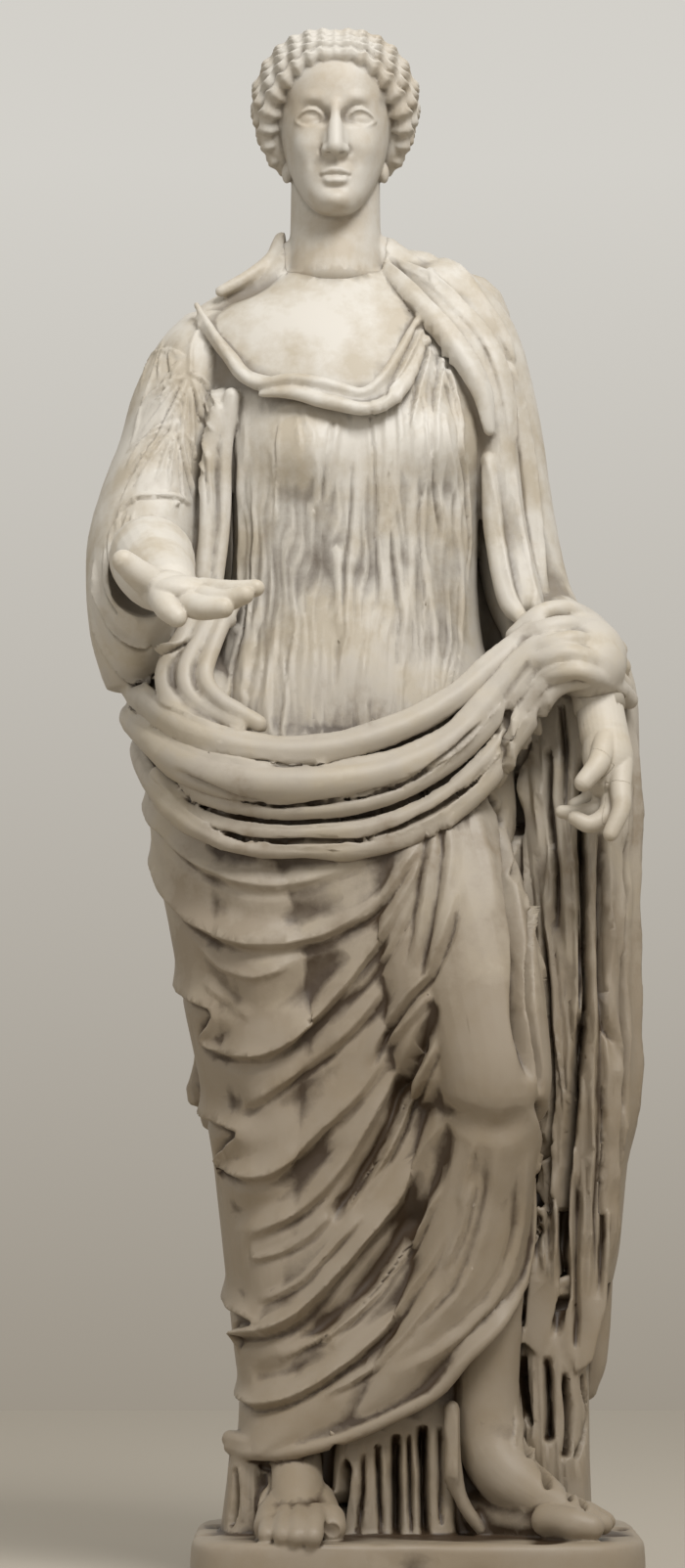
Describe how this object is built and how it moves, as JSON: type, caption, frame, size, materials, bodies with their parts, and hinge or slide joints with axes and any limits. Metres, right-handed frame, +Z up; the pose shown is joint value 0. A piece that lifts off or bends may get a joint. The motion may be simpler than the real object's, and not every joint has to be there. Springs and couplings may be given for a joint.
{
  "type": "marble statue",
  "caption": "Standing draped woman in marble on a low integral plinth, weight on one leg, one forearm held out palm up, mantle falling from the other arm.",
  "frame": {"origin": "centre of the plinth's underside", "axes": "+Z up, the figure faces -Y, +X towards the figure's left"},
  "size_m": [0.7325, 0.692, 2.0561],
  "materials": {
    "old_marble": "matte",
    "head_marble": "matte",
    "restored_marble": "matte"
  },
  "bodies": {
    "root": {"draped_figure": "old_marble", "head_and_neck": "head_marble", "right_forearm_and_hand": "restored_marble", "left_hand": "restored_marble", "left_thumb": "restored_marble", "left_index_finger": "restored_marble"}
  },
  "joints": []
}
